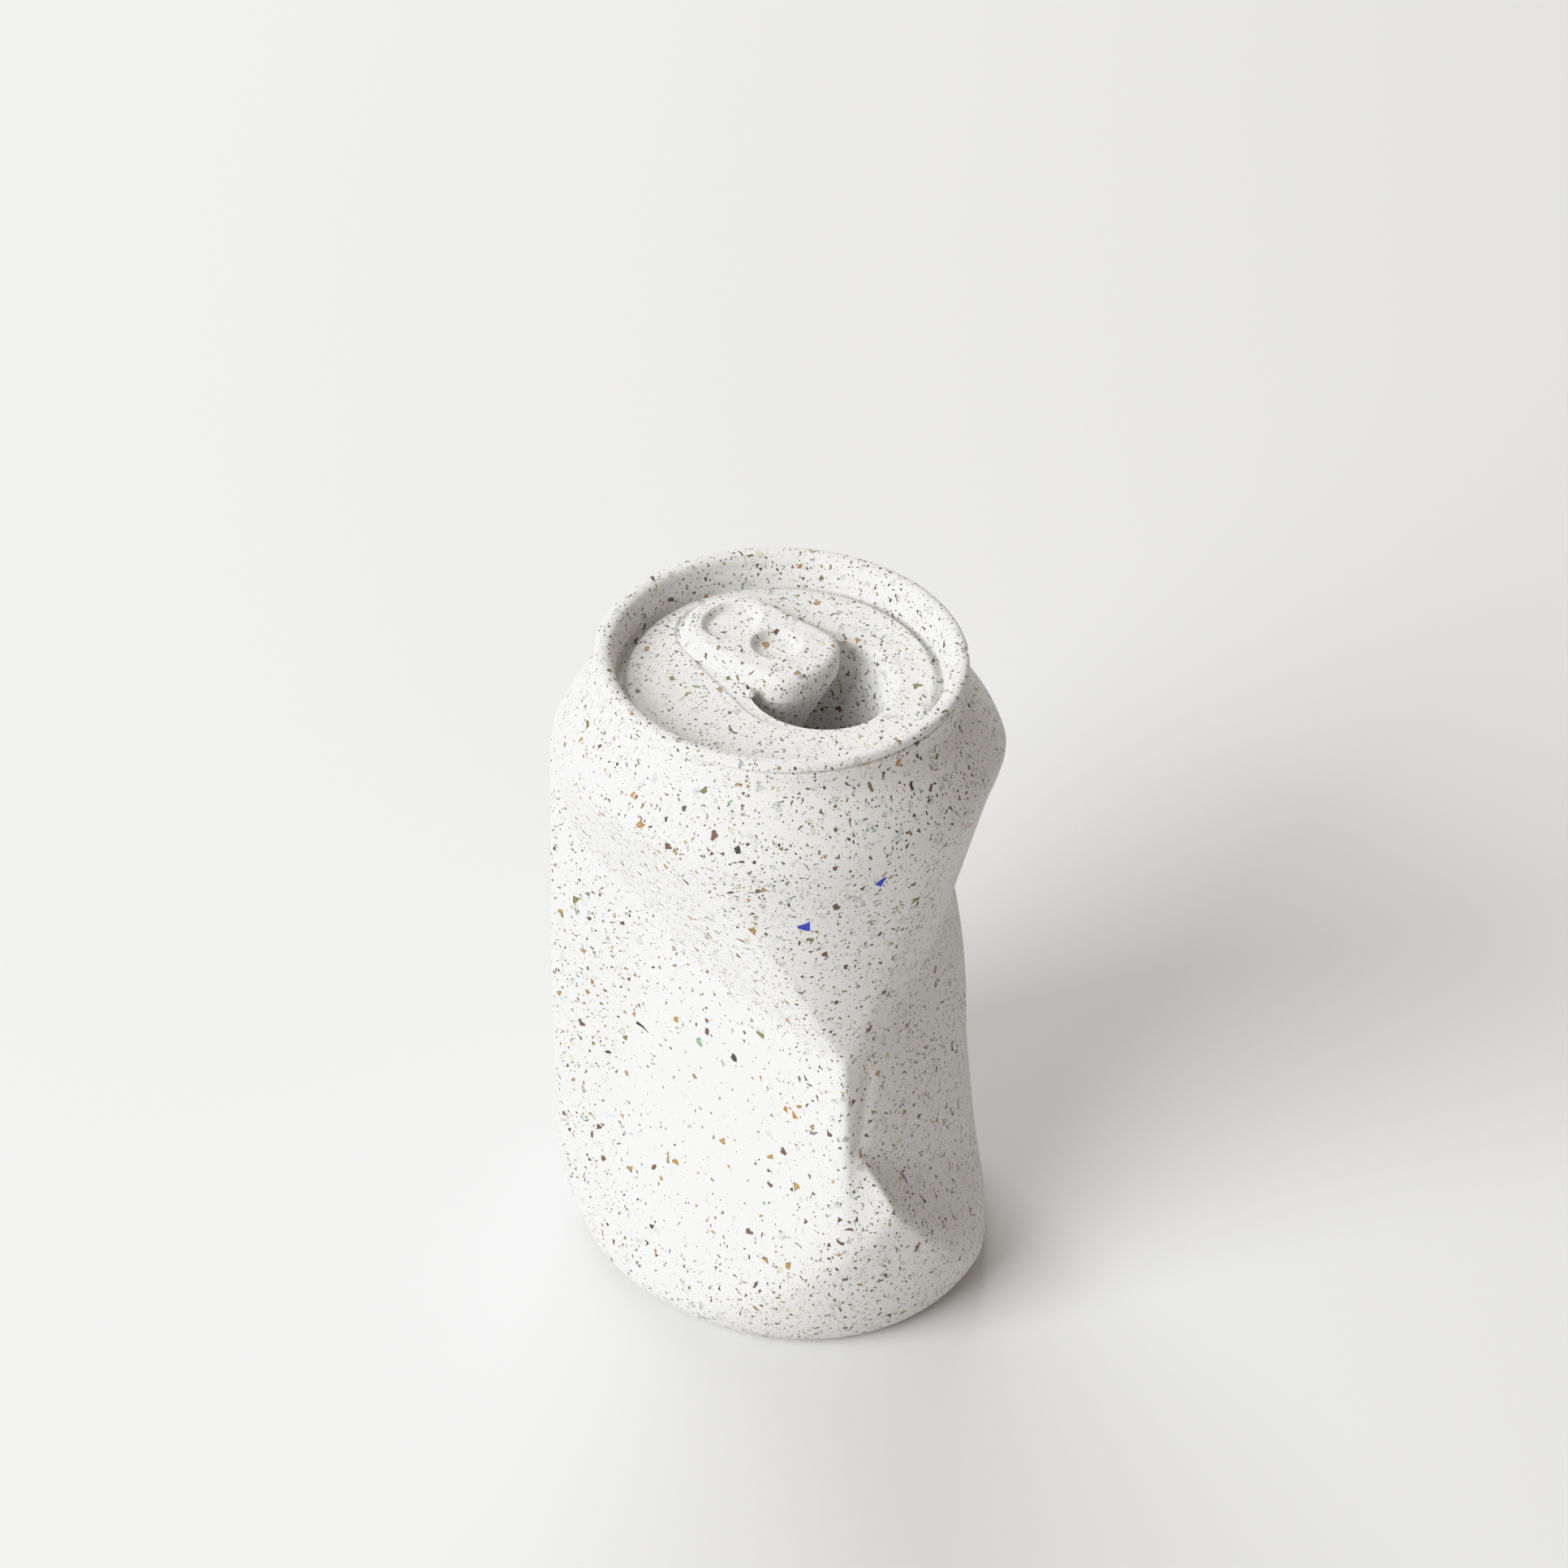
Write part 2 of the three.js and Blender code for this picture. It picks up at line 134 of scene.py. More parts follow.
class LidSizes(bpy.types.PropertyGroup):
    """Place and sizes of the lid and its ring pull"""

    crest: bpy.props.FloatProperty(
        name="Rim height", description="Height of the rim's crest",
        default=0.1127, min=0.05, unit="LENGTH")
    centre: bpy.props.FloatVectorProperty(
        name="Centre", description="Place of the lid's centre, right and back of the axis",
        default=(-0.0003, -0.0025), size=2, unit="LENGTH")
    tilt_back: bpy.props.FloatProperty(
        name="Tilt back", description="Lift of the back side",
        default=radians(0.4), unit="ROTATION")
    tilt_right: bpy.props.FloatProperty(
        name="Tilt right", description="Drop of the right side",
        default=radians(1.5), unit="ROTATION")
    underside: bpy.props.FloatProperty(
        name="Underside", description="Depth of the hollow's ceiling below the rim's crest",
        default=0.020, min=0.005, unit="LENGTH")
    tab_azimuth: bpy.props.FloatProperty(
        name="Pull direction", description="Direction of the ring pull's nose, from the right",
        default=radians(-39), unit="ROTATION")
    tab_length: bpy.props.FloatProperty(
        name="Pull length", description="Length of the ring pull", default=0.0242, unit="LENGTH")
    tab_width: bpy.props.FloatProperty(
        name="Pull width", description="Width of the ring pull", default=0.0151, unit="LENGTH")
    tab_height: bpy.props.FloatProperty(
        name="Pull height", description="Height of the ring pull above the panel",
        default=0.0024, unit="LENGTH")
    tab_edge: bpy.props.FloatProperty(
        name="Pull edge", description="Rounding of the ring pull's upper edge",
        default=0.0013, unit="LENGTH")


class Finish(bpy.types.PropertyGroup):
    """Colours of the composite and its chips"""

    body: bpy.props.FloatVectorProperty(
        name="Composite", description="Colour of the composite itself",
        subtype="COLOR", size=3, default=(0.795, 0.787, 0.772), min=0, max=1)
    amber: bpy.props.FloatVectorProperty(
        name="Amber chips", description="Colour of the amber chips",
        subtype="COLOR", size=3, default=(0.41, 0.225, 0.045), min=0, max=1)
    brown: bpy.props.FloatVectorProperty(
        name="Brown chips", description="Colour of the brown chips",
        subtype="COLOR", size=3, default=(0.14, 0.062, 0.028), min=0, max=1)
    dark: bpy.props.FloatVectorProperty(
        name="Dark chips", description="Colour of the dark slivers",
        subtype="COLOR", size=3, default=(0.035, 0.03, 0.03), min=0, max=1)
    olive: bpy.props.FloatVectorProperty(
        name="Olive chips", description="Colour of the olive chips",
        subtype="COLOR", size=3, default=(0.20, 0.17, 0.035), min=0, max=1)
    green: bpy.props.FloatVectorProperty(
        name="Green chips", description="Colour of the pale green chips",
        subtype="COLOR", size=3, default=(0.22, 0.40, 0.22), min=0, max=1)
    straw: bpy.props.FloatVectorProperty(
        name="Straw chips", description="Colour of the straw-yellow chips",
        subtype="COLOR", size=3, default=(0.58, 0.52, 0.22), min=0, max=1)
    glass: bpy.props.FloatVectorProperty(
        name="Grey chips", description="Colour of the clear grey chips",
        subtype="COLOR", size=3, default=(0.42, 0.44, 0.43), min=0, max=1)
    blue: bpy.props.FloatVectorProperty(
        name="Blue chips", description="Colour of the blue chips",
        subtype="COLOR", size=3, default=(0.035, 0.06, 0.50), min=0, max=1)


class StageSettings(bpy.types.PropertyGroup):
    """Floor, light and camera"""

    floor_colour: bpy.props.FloatVectorProperty(
        name="Floor", description="Colour of the floor",
        subtype="COLOR", size=3, default=(0.785, 0.785, 0.785), min=0, max=1)
    key_power: bpy.props.FloatProperty(
        name="Key light", description="Power of the large light from the front left",
        default=26.5, min=0)
    back_power: bpy.props.FloatProperty(
        name="Back light", description="Power of the light from behind", default=13.0, min=0)
    top_power: bpy.props.FloatProperty(
        name="Top light", description="Power of the light overhead", default=1.5, min=0)
    fill: bpy.props.FloatProperty(
        name="Fill", description="Strength of the light from all round", default=0.27, min=0)
    light_colour: bpy.props.FloatVectorProperty(
        name="Light colour", description="Colour of the lights",
        subtype="COLOR", size=3, default=(0.96, 0.985, 1.0), min=0, max=1)
    fill_colour: bpy.props.FloatVectorProperty(
        name="Fill colour", description="Colour of the light from all round",
        subtype="COLOR", size=3, default=(1.0, 0.90, 0.80), min=0, max=1)
    camera_elevation: bpy.props.FloatProperty(
        name="Camera elevation", description="Height of the camera above the target, as an angle",
        default=radians(40.05), unit="ROTATION")
    camera_distance: bpy.props.FloatProperty(
        name="Camera distance", description="Distance from the camera to its target",
        default=0.5611, unit="LENGTH")


# ---- Shapes that blend, on arrays of millimetres ----

def smooth_step(t):
    t = np.clip(t, 0, 1)
    return t * t * (3 - 2 * t)


def smooth_min(a, b, blend):
    overlap = np.maximum(blend - np.abs(a - b), 0) / blend
    return np.minimum(a, b) - overlap * overlap * blend / 4


def smooth_max(a, b, blend):
    return -smooth_min(-a, -b, blend)


def turn_from(azimuth, degrees):
    turn = azimuth - np.radians(degrees)
    return np.arctan2(np.sin(turn), np.cos(turn))


def facet_radius(facet, azimuth, z):
    turn = facet["flatness"] * turn_from(azimuth, facet["faces"])
    turn = np.clip(turn, -WIDEST_FACET, WIDEST_FACET)
    return (facet["reach"] + facet["slope"] * (z - facet["at"])) / np.cos(turn)


def twist(z):
    return smooth_step((z - TWIST[0]) / (TWIST[1] - TWIST[0]))


def can_radius(sizes, azimuth, z):
    """Radius of the can without the crush"""
    upper = twist(z)
    base, top = sizes.base_radius / MM, sizes.top_radius / MM
    radius = base + (top - base) * upper
    radius = radius + BASE_OVAL * (1 - upper) * np.cos(2 * (azimuth - radians(BASE_OVAL_AZIMUTH)))
    shoulder, neck = sizes.shoulder_height / MM, sizes.neck_height / MM
    dome = np.clip((z - shoulder) / (neck - shoulder), 0, 1)
    radius = radius - (radius - sizes.neck_radius / MM) * dome ** DOME_POWER
    corner = np.clip(1 - z / (sizes.corner_up / MM), 0, 1)
    return radius - sizes.corner_in / MM * (1 - np.sqrt(1 - corner * corner))


def can_blend(azimuth, z):
    right = smooth_step(azimuth / radians(BASE_BLEND_TURN))
    base = BASE_BLEND_LEFT + (BASE_BLEND_RIGHT - BASE_BLEND_LEFT) * right
    low, high = BASE_BLEND_HEIGHT
    return base + (CAN_BLEND - base) * smooth_step((z - low) / (high - low))


def crease_depth(azimuth, z):
    """Depth of the fold that carries the right overhang's edge on down to the foot of the crush"""
    (first, high), (last, low) = CREASE["from"], CREASE["to"]
    along = np.clip((high - z) / (high - low), 0, 1)
    across = turn_from(azimuth, first + (last - first) * along) * CREASE["reach"]
    beyond = np.maximum(z - high, 0) + np.maximum(low - z, 0)
    return CREASE["depth"] * np.exp(-(across ** 2 + beyond ** 2) / CREASE["half_width"] ** 2)


def crushed_radius(sizes, azimuth, z):
    """Radius of the can, cut back to the larger of its upper and lower crushed forms"""
    overhangs = smooth_min(facet_radius(LEFT_OVERHANG, azimuth, z),
                           facet_radius(RIGHT_OVERHANG, azimuth, z), OVERHANG_BLEND)
    upper = smooth_min(overhangs, facet_radius(FRONT_WALL, azimuth, z), OVERHANG_BLEND)
    panels = smooth_min(facet_radius(LEFT_PANEL, azimuth, z),
                        facet_radius(RIGHT_PANEL, azimuth, z), PANEL_BLEND)
    flares = smooth_min(facet_radius(LEFT_FLARE, azimuth, z),
                        facet_radius(RIGHT_FLARE, azimuth, z), PANEL_BLEND)
    lower = smooth_max(panels, flares, FLARE_BLEND)
    facets = smooth_max(upper, lower, VALLEY_BLEND)
    crushed = smooth_min(can_radius(sizes, azimuth, z), facets, can_blend(azimuth, z))
    across = turn_from(azimuth, DIMPLE["faces"]) / radians(DIMPLE["half_angle"])
    along = (z - DIMPLE["height"]) / DIMPLE["half_height"]
    return crushed - DIMPLE["depth"] * np.exp(-across ** 2 - along ** 2) - crease_depth(azimuth, z)


def on_lid(lid, u, v, w):
    """Points of the lid's frame, in the can's"""
    turn = Euler((lid.tilt_back, lid.tilt_right, 0)).to_matrix()
    points = np.stack(np.broadcast_arrays(u, v, w), axis=-1) @ np.array(turn).T
    return points + np.array([lid.centre[0], lid.centre[1], lid.crest]) / MM


def on_wall(sizes, lid, azimuth, z, inset=0.0):
    """Points of the crushed wall; the dome leans into the lid"""
    radius = crushed_radius(sizes, azimuth, z) - inset
    across, deep = radius * np.sin(azimuth), -radius * np.cos(azimuth)
    axis_x = BASE_AXIS_X + (TOP_AXIS_X - BASE_AXIS_X) * twist(z)
    place = np.stack([across + axis_x, deep, np.full_like(azimuth, z)], axis=-1)
    carried = on_lid(lid, across, deep, z - lid.crest / MM)
    shoulder, neck = sizes.shoulder_height / MM, sizes.neck_height / MM
    share = smooth_step((z - shoulder) / (neck - shoulder))
    return place + (carried - place) * share


def spread(start, end, steps, ease=lambda t: t):
    return [start + (end - start) * ease(i / steps) for i in range(steps + 1)]


def through(points, steps):
    """A smooth curve through the points, with that many steps between two of them"""
    p = np.array(points, float)
    p = np.vstack([2 * p[0] - p[1], p, 2 * p[-1] - p[-2]])
    curve = []
    for a, b, c, d in zip(p, p[1:], p[2:], p[3:]):
        for t in np.linspace(0, 1, steps, endpoint=False):
            bend = 2 * a - 5 * b + 4 * c - d + t * (3 * (b - c) + d - a)
            curve.append(b + 0.5 * t * (c - a + t * bend))
    return np.array(curve + [p[-2]])


# ---- Making meshes ----

def deselect_all():
    if bpy.context.mode != "OBJECT":
        bpy.ops.object.mode_set(mode="OBJECT")
    bpy.ops.object.select_all(action="DESELECT")


def formed_ball(name, segments, row_count, place):
    """A ball pressed into shape: `place` gives the points of a row of the ball, in millimetres,
    from its number and its azimuths; rows are counted from the lower pole to the upper one"""
    deselect_all()
    bpy.ops.mesh.primitive_uv_sphere_add(segments=segments, ring_count=row_count + 1, radius=1.0)
    ball = bpy.context.object
    ball.name = name
    count = len(ball.data.vertices)
    points = np.zeros(count * 3)
    ball.data.vertices.foreach_get("co", points)
    points = points.reshape(-1, 3)
    rise = np.arcsin(np.clip(points[:, 2], -1, 1)) / pi + 0.5
    rows = np.rint(rise * (row_count + 1)).astype(int)
    azimuths = np.arctan2(points[:, 0], -points[:, 1])
    formed = np.zeros_like(points)
    for row in range(1, row_count + 1):
        here = rows == row
        formed[here] = place(row - 1, azimuths[here])
    for pole, neighbour in ((0, 1), (row_count + 1, row_count)):
        formed[rows == pole] = formed[rows == neighbour].mean(axis=0)
    ball.data.vertices.foreach_set("co", (formed * MM).ravel())
    ball.data.update()
    return ball


def combine(body, tool, operation):
    """Joins the tool to the body or cuts it out, and removes it"""
    deselect_all()
    bpy.context.view_layer.objects.active = body
    body.select_set(True)
    cut = body.modifiers.new(operation.lower(), "BOOLEAN")
    cut.operation = operation
    cut.solver = "EXACT"
    cut.object = tool
    before = len(body.data.vertices)
    bpy.ops.object.modifier_apply(modifier=cut.name)
    if len(body.data.vertices) in (0, before):
        raise RuntimeError(f"The {operation.lower()} of {tool.name} didn't change {body.name}")
    bpy.data.objects.remove(tool)


AROUND = 360  # points in each row of the outer form
FRONT_BIAS = 0.25  # how much closer those points stand at the crushed front
UNDERSIDE = (0.3, 0.7, 0.92)  # shares of the base's radius where the underside has rows


def biased(azimuth):
    return azimuth - FRONT_BIAS * np.sin(azimuth)


def outer_form(sizes, lid):
    """Underside, wall, dome, rim, groove and panel in one skin"""
    corner, shoulder = sizes.corner_up / MM, sizes.shoulder_height / MM
    neck = lid.crest / MM - NECK_FROM
    heights = spread(0, corner, 12, lambda t: 1 - cos(t * pi / 2))
    heights += spread(corner, shoulder, 90)[1:]
    heights += spread(shoulder, neck, 32)[1:]
    lid_rows = list(through(RIM_SECTION + GROOVE_SECTION, 2))
    lid_rows += [(radius, -PANEL_DEPTH) for radius in PANEL_ROWS]

    def place(row, azimuth):
        azimuth = biased(azimuth)
        if row < len(UNDERSIDE):
            points = on_wall(sizes, lid, azimuth, 0.0)
            return points * np.array([UNDERSIDE[row], UNDERSIDE[row], 0])
        row -= len(UNDERSIDE)
        if row < len(heights):
            return on_wall(sizes, lid, azimuth, heights[row])
        radius, w = lid_rows[row - len(heights)]
        if w > NICK["lowest"]:
            nick = turn_from(azimuth, NICK["azimuth"]) * radius / NICK["half_width"]
            outer = smooth_step((radius - NICK["starts"]) / NICK["fade"])
            radius = radius - NICK["depth"] * outer * np.exp(-nick ** 2)
        return on_lid(lid, radius * np.sin(azimuth), -radius * np.cos(azimuth), w)

    return formed_ball(PIECE, AROUND, len(UNDERSIDE) + len(heights) + len(lid_rows), place)


def hollow(sizes, lid):
    """The same crushed form, a wall's thickness inside"""
    floor, wall, rounding = sizes.floor / MM, sizes.wall / MM, 6.0
    ceiling = (lid.crest - lid.underside) / MM
    heights = spread(floor, floor + rounding, 5, lambda t: 1 - cos(t * pi / 2))
    heights += spread(floor + rounding, ceiling - rounding, 40)[1:]
    heights += spread(ceiling - rounding, ceiling, 5, lambda t: sin(t * pi / 2))[1:]

    def place(row, azimuth):
        z = heights[row]
        gap = max(rounding - min(z - floor, ceiling - z), 0) / rounding
        inset = wall + rounding * (1 - (1 - gap * gap) ** 0.5)
        return on_wall(sizes, lid, biased(azimuth), z, inset)

    return formed_ball("hollow", 96, len(heights), place)


# ---- The lid's details: along and across the ring pull, from the lid's centre ----
TAB_NOSE = 5.6
TAB_OFFSET = 3.0
TAB_CORE = 4.5  # half the length of the line that the ring pull's top shrinks to
NOSE_DEPTH = 6.0
NOSE_FULLNESS = 0.8
FINGER_RECESS = {"along": -12, "across": 3.2, "half_length": 3.9, "half_width": 4.8,
                 "depth": 1.0, "edge": 1.1}
RIVET_RECESS = {"along": -3.3, "across": 2.9, "half_length": 3.6, "half_width": 3.6,
                "depth": 1.3, "edge": 1.0}
RECESS_LIP = 0.25  # share of a recess's soft edge that lies outside its oval
# u, v and radius of the two circles that the teardrop is drawn round
TEARDROP_REAR = (-7.2, 10, 8.5)
TEARDROP_FRONT = (4.5, -1.5, 12.2)
TEARDROP_DEPTH = 0.4
# inset from the teardrop's outline, and w, from its floor up past the panel
TEARDROP_SECTION = ((0.6, -PANEL_DEPTH - TEARDROP_DEPTH),
                    (0.25, -PANEL_DEPTH - TEARDROP_DEPTH * 0.8),
                    (0.02, -PANEL_DEPTH - 0.04), (-0.33, -PANEL_DEPTH + 0.6))
# w, u, v and radius of the mouth's rings
MOUTH_SECTION = ((-3.2, 6.0, -1.2, 11.3), (-4.05, 6.0, -1.3, 11.22), (-4.8, 5.9, -1.5, 10.95),
                 (-6.5, 5.6, -1.8, 10.6), (-10, 5.1, -2.2, 10.0), (-24, 4.6, -2.6, 9.5))
# w of the flap's rows, and their size as a share of the ring pull's
FLAP_SECTION = ((-22, 0.36), (-19, 0.46), (-14.5, 0.64), (-10.7, 0.79), (-7.6, 0.92), (-5.9, 0.985))
FLAP_ANCHOR = (-5.5, 1.0)
FLAP_REAR = -10.5
# the fillet at the foot of the ring pull: it fades in behind the place `FOOT_FROM` along it
FOOT_FILLET = 0.9
FOOT_SUNK = 0.8
FOOT_BELOW = 0.05  # how far the fillet starts below the teardrop's floor
FOOT_FROM = -2.0
FOOT_FADE = 4
CRUMBLE_FROM = 4.6  # depth where the flap's broken surface starts, and how far it takes to be full
CRUMBLE_FADE = 1.5
FLAP_CRUMBS = (0.9, 0.16)  # size and height of the broken surface's bumps
NUB_CRUMBS = (0.6, 0.25)
NUB_AT = (-4.4, -4.3)
NUB_RADIUS = 0.65
NUB_ROWS = 12


def tab_point(lid, along, across):
    turn = lid.tab_azimuth
    return along * cos(turn) - across * sin(turn), along * sin(turn) + across * cos(turn)


def tab_outline(lid, azimuth, inset=0.0):
    """Outline of the ring pull, along and across it, in even steps: a flat arc at the nose, a half
    circle at the rear"""
    turn = np.linspace(-pi, pi, 1441)
    half = lid.tab_width / MM / 2 - inset
    rear_at = TAB_NOSE - (lid.tab_length - lid.tab_width / 2) / MM
    nose = TAB_NOSE - NOSE_DEPTH + (NOSE_DEPTH - inset) * np.abs(np.cos(turn)) ** NOSE_FULLNESS
    along = np.where(np.cos(turn) > 0, nose, rear_at + half * np.cos(turn))
    across = half * np.sin(turn)
    gone = np.append(0, np.cumsum(np.hypot(np.diff(along), np.diff(across))))
    at = (azimuth / (2 * pi) + 0.75) % 1 * gone[-1]
    return np.interp(at, gone, along), TAB_OFFSET + np.interp(at, gone, across)


def recess_depth(shape, along, across):
    """Depth of a soft-edged oval recess"""
    reach = np.hypot((along - shape["along"]) / shape["half_length"],
                     (across - shape["across"]) / shape["half_width"])
    size = min(shape["half_length"], shape["half_width"])
    return shape["depth"] * smooth_step((1 - reach) * size / shape["edge"] + RECESS_LIP)


def crumble(points, size, depth):
    """Heights of a rough broken surface at the points"""
    return np.array([depth * noise.fractal(Vector(point) / size, 0.7, 2.0, 4) for point in points])


def ring_pull(lid):
    """The ring pull with its recesses, and the bent-in flap below its nose"""
    edge = lid.tab_edge / MM
    top = lid.tab_height / MM - PANEL_DEPTH
    middle = TAB_NOSE - lid.tab_length / MM / 2

    def core(along):
        return np.clip(along, middle - TAB_CORE, middle + TAB_CORE)

    def flap_row(azimuth, w, size):
        along, across = tab_outline(lid, azimuth)
        along = FLAP_ANCHOR[0] + size * (np.maximum(along, FLAP_REAR) - FLAP_ANCHOR[0])
        across = FLAP_ANCHOR[1] + size * (across - FLAP_ANCHOR[1])
        crumbled = min(max(-CRUMBLE_FROM - w, 0) / CRUMBLE_FADE, 1)
        if crumbled:
            points = np.stack([along, across, np.full_like(along, w)], axis=-1)
            out = np.hypot(along - FLAP_ANCHOR[0], across - FLAP_ANCHOR[1])
            grow = 1 + crumbled * crumble(points, *FLAP_CRUMBS) / np.maximum(out, 1)
            along = FLAP_ANCHOR[0] + (along - FLAP_ANCHOR[0]) * grow
            across = FLAP_ANCHOR[1] + (across - FLAP_ANCHOR[1]) * grow
        return along, across, w

    def foot_row(azimuth, bend, sunk):
        along, across = tab_outline(lid, azimuth)
        flare = FOOT_FILLET * (1 - sin(bend)) * smooth_step((FOOT_FROM - along) / FOOT_FADE)
        out = np.stack([along - core(along), across - TAB_OFFSET])
        out = out / np.maximum(np.hypot(*out), 0.1)
        w = FOOT_FILLET * (1 - cos(bend)) - PANEL_DEPTH - TEARDROP_DEPTH - FOOT_BELOW
        return along + out[0] * flare, across + out[1] * flare, w - sunk

    def edge_row(azimuth, bend):
        along, across = tab_outline(lid, azimuth, edge * (1 - cos(bend)))
        return along, across, top - edge * (1 - sin(bend))

    def top_row(azimuth, share):
        along, across = tab_outline(lid, azimuth, edge)
        along = along + (core(along) - along) * share
        across = across + (TAB_OFFSET - across) * share
        w = np.full_like(along, top)
        for shape in (FINGER_RECESS, RIVET_RECESS):
            w = w - recess_depth(shape, along, across)
        return along, across, w

    rows = [(flap_row, w, size) for w, size in through(FLAP_SECTION, 7)]
    rows += [(foot_row, 0, FOOT_SUNK)]
    rows += [(foot_row, bend, 0) for bend in spread(0, pi / 2, 6)]
    rows += [(edge_row, bend) for bend in spread(0, pi / 2, 7)]
    rows += [(top_row, share) for share in np.linspace(0, 1, 34)[1:-1]]

    def place(row, azimuth):
        form, *values = rows[row]
        along, across, w = form(azimuth, *values)
        u, v = tab_point(lid, along, across)
        return on_lid(lid, u, v, w)

    return formed_ball("ring_pull", 200, len(rows), place)


def teardrop(lid):
    """The sunken field round the ring pull and the mouth"""
    (rear_u, rear_v, rear), (front_u, front_v, front) = TEARDROP_REAR, TEARDROP_FRONT
    apart = hypot(front_u - rear_u, front_v - rear_v)
    axis = np.arctan2(front_v - rear_v, front_u - rear_u)
    opening = np.arccos((rear - front) / apart)

    def place(row, azimuth):
        inset, w = TEARDROP_SECTION[row]
        turn = azimuth - pi / 2 - axis
        turn = np.arctan2(np.sin(turn), np.cos(turn))
        at_front = np.abs(turn) < opening
        radius = np.where(at_front, front, rear) - inset
        u = np.where(at_front, front_u, rear_u) + radius * np.cos(axis + turn)
        v = np.where(at_front, front_v, rear_v) + radius * np.sin(axis + turn)
        return on_lid(lid, u, v, w)

    return formed_ball("teardrop", 160, len(TEARDROP_SECTION), place)


def mouth(lid):
    """The mouth's neck"""
    section = through(MOUTH_SECTION, 5)[::-1]

    def place(row, azimuth):
        w, u, v, radius = section[row]
        turn = azimuth - pi / 2
        return on_lid(lid, u + radius * np.cos(turn), v + radius * np.sin(turn), w)

    return formed_ball("mouth", 160, len(section), place)


def nub(lid):
    """A crumb left where the lid broke, at the mouth's left end"""
    (u, v), radius = NUB_AT, NUB_RADIUS

    def place(row, azimuth):
        rise = pi * ((row + 1) / (NUB_ROWS + 1) - 0.5)
        ball = np.stack([cos(rise) * np.sin(azimuth), -cos(rise) * np.cos(azimuth),
                         np.full_like(azimuth, sin(rise))], axis=-1)
        ball = ball * (radius + crumble(ball * radius, *NUB_CRUMBS)[:, None])
        w = ball[:, 2] - PANEL_DEPTH - TEARDROP_DEPTH
        return on_lid(lid, u + ball[:, 0], v + ball[:, 1], w)

    return formed_ball("nub", 24, NUB_ROWS, place)


# ---- Material ----

def add(tree, kind, settings=None, **inputs):
    """A node with its settings; an input, by its name or as i and its number, is a value or
    another node's socket"""
    made = tree.nodes.new("ShaderNode" + kind)
    for name, value in (settings or {}).items():
        setattr(made, name, value)
    for name, value in inputs.items():
        key = int(name[1:]) if name[1:].isdigit() else name.replace("_", " ")
        socket = made.inputs[key]
        if isinstance(value, bpy.types.NodeSocket):
            tree.links.new(value, socket)
        else:
            socket.default_value = value
    return made


def calculate(tree, operation, *values):
    inputs = {f"i{i}": value for i, value in enumerate(values)}
    return add(tree, "Math", {"operation": operation}, **inputs).outputs[0]


def distance(tree, place, centre):
    return add(tree, "VectorMath", {"operation": "DISTANCE"}, i0=place, i1=centre).outputs["Value"]


def vector_calculate(tree, operation, *values, **more):
    inputs = {f"i{i}": value for i, value in enumerate(values)}
    return add(tree, "VectorMath", {"operation": operation}, **inputs, **more).outputs[0]


WEDGE_TAPER = 0.6
WEDGE_SLANT = 0.4
SMALLEST_CHIP = 0.55  # its size, as a share of its kind's
FEW_LARGE = 1.6  # the higher, the fewer of the chips are large


def shard(tree, place, turn, size, bend, softness):
    """1 inside a bent, turned wedge of that size round the origin, 0 outside; and how near its
    edge a place is"""
    turned = add(tree, "VectorRotate", {"rotation_type": "EULER_XYZ"}, Vector=place,
                 Rotation=turn).outputs[0]
    sized = add(tree, "SeparateXYZ", Vector=vector_calculate(tree, "DIVIDE", turned, size))
    x, y, z = sized.outputs
    y = calculate(tree, "MULTIPLY_ADD", calculate(tree, "MULTIPLY", x, x), bend, y)
    wide = calculate(tree, "MULTIPLY_ADD", x, WEDGE_TAPER, calculate(tree, "ABSOLUTE", y))
    thick = calculate(tree, "MULTIPLY_ADD", y, WEDGE_SLANT, calculate(tree, "ABSOLUTE", z))
    long = calculate(tree, "MAXIMUM", calculate(tree, "ABSOLUTE", x), wide)
    reach = calculate(tree, "MAXIMUM", long, thick)
    mask = add(tree, "MapRange", Value=reach, From_Min=1 + softness,
               From_Max=1 - softness).outputs[0]
    return mask, reach


def new_group(name, inputs, outputs):
    group = bpy.data.node_groups.new(name, "ShaderNodeTree")
    for direction, sockets in (("INPUT", inputs), ("OUTPUT", outputs)):
        for title, kind in sockets:
            group.interface.new_socket(name=title, in_out=direction,
                                       socket_type="NodeSocket" + kind)
    given = group.nodes.new("NodeGroupInput").outputs
    return group, given, group.nodes.new("NodeGroupOutput").inputs


